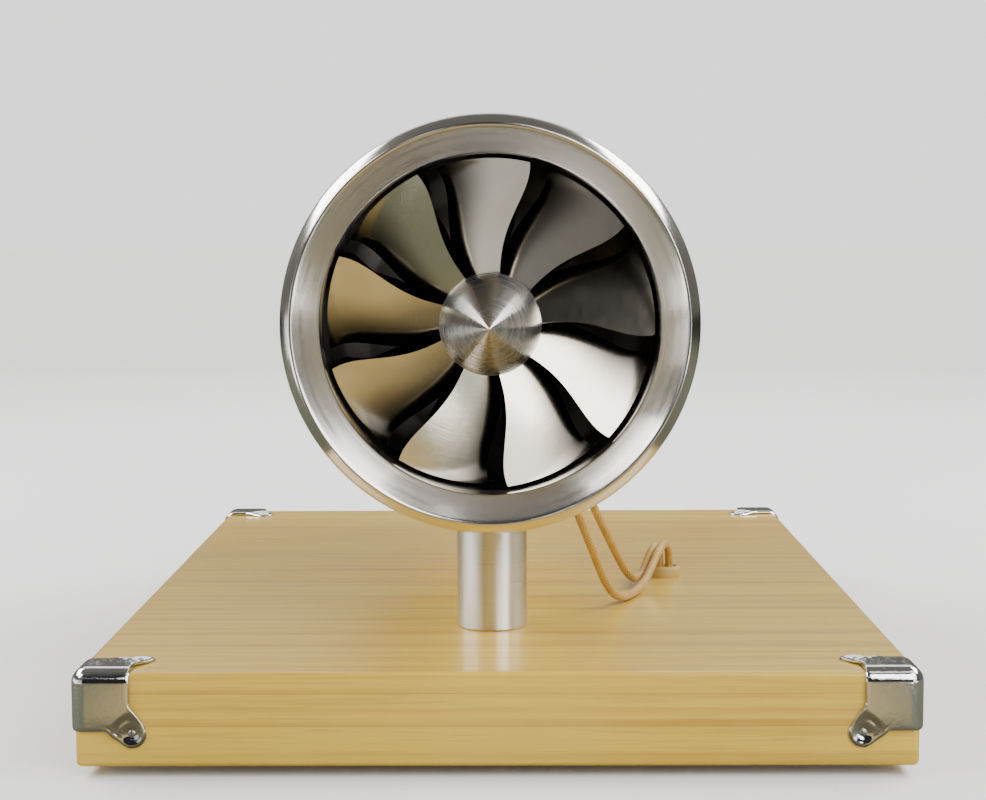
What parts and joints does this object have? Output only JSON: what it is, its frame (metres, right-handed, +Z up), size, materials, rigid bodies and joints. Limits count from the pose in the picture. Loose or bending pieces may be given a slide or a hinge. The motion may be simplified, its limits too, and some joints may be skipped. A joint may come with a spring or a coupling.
{
  "type": "desktop axial turbine generator model",
  "caption": "Desktop display model of an axial turbine generator: bell-mouth inlet with a bladed rotor in a steel case, carried on round posts over a varnished wooden board.",
  "frame": {"origin": "middle of the underside of the four feet, on the surface that the model stands on", "axes": "+Z up; the intake faces -Y and the exhaust +Y, so the rotor's axis is parallel to Y; +X is to the right seen from the front"},
  "size_m": [0.2224, 0.3114, 0.1737],
  "materials": {
    "turned_steel": "bright turned stainless steel with fine concentric tool marks",
    "spinner_steel": "turned stainless steel cone, radial light streaks",
    "blade_steel": "polished stainless steel with faint cross-wise polishing marks",
    "vane_steel": "dark steel inside the duct",
    "dark_steel": "darker plain steel",
    "case_steel": "satin turned stainless steel",
    "post_steel": "polished stainless steel round bar",
    "chrome": "bright chromed pressed sheet",
    "varnished_wood": "laminated light wood under gloss varnish",
    "foot_rubber": "black rubber",
    "amber_sleeve": "amber insulating sleeve",
    "amber_rubber": "amber moulded rubber",
    "black_plastic": "black moulded plastic"
  },
  "bodies": {
    "stand": {"base_board": "varnished_wood", "inlet_lip": "turned_steel", "fan_case": "case_steel", "rear_case": "case_steel", "exhaust_nozzle": "case_steel", "generator_housing": "dark_steel", "front_bearing": "dark_steel", "tail_cone": "dark_steel", "post_front": "post_steel", "post_rear": "post_steel", "lead_front": "amber_sleeve", "lead_rear": "amber_sleeve", "lead_gland_front": "black_plastic", "lead_gland_rear": "black_plastic", "board_grommet": "amber_rubber", "guide_vane_1": "vane_steel", "guide_vane_2": "vane_steel", "guide_vane_3": "vane_steel", "guide_vane_4": "vane_steel", "guide_vane_5": "vane_steel", "guide_vane_6": "vane_steel", "guide_vane_7": "vane_steel", "guide_vane_8": "vane_steel", "guide_vane_9": "vane_steel", "rear_strut_1": "vane_steel", "rear_strut_2": "vane_steel", "rear_strut_3": "vane_steel", "corner_guard_front_left": "chrome", "corner_guard_front_right": "chrome", "corner_guard_rear_left": "chrome", "corner_guard_rear_right": "chrome", "foot_front_left": "foot_rubber", "foot_front_right": "foot_rubber", "foot_rear_left": "foot_rubber", "foot_rear_right": "foot_rubber"},
    "rotor": {"spinner": "spinner_steel", "fan_hub": "dark_steel", "rotor_shaft": "dark_steel", "fan_blade_1": "blade_steel", "fan_blade_2": "blade_steel", "fan_blade_3": "blade_steel", "fan_blade_4": "blade_steel", "fan_blade_5": "blade_steel", "fan_blade_6": "blade_steel", "fan_blade_7": "blade_steel", "fan_blade_8": "blade_steel", "fan_blade_9": "blade_steel"}
  },
  "joints": [
    {"name": "rotor_spin", "type": "hinge", "parent": "stand", "child": "rotor", "pos_m": [-0.0017, -0.1, 0.1165], "axis": [0, 1, 0], "continuous": true}
  ]
}
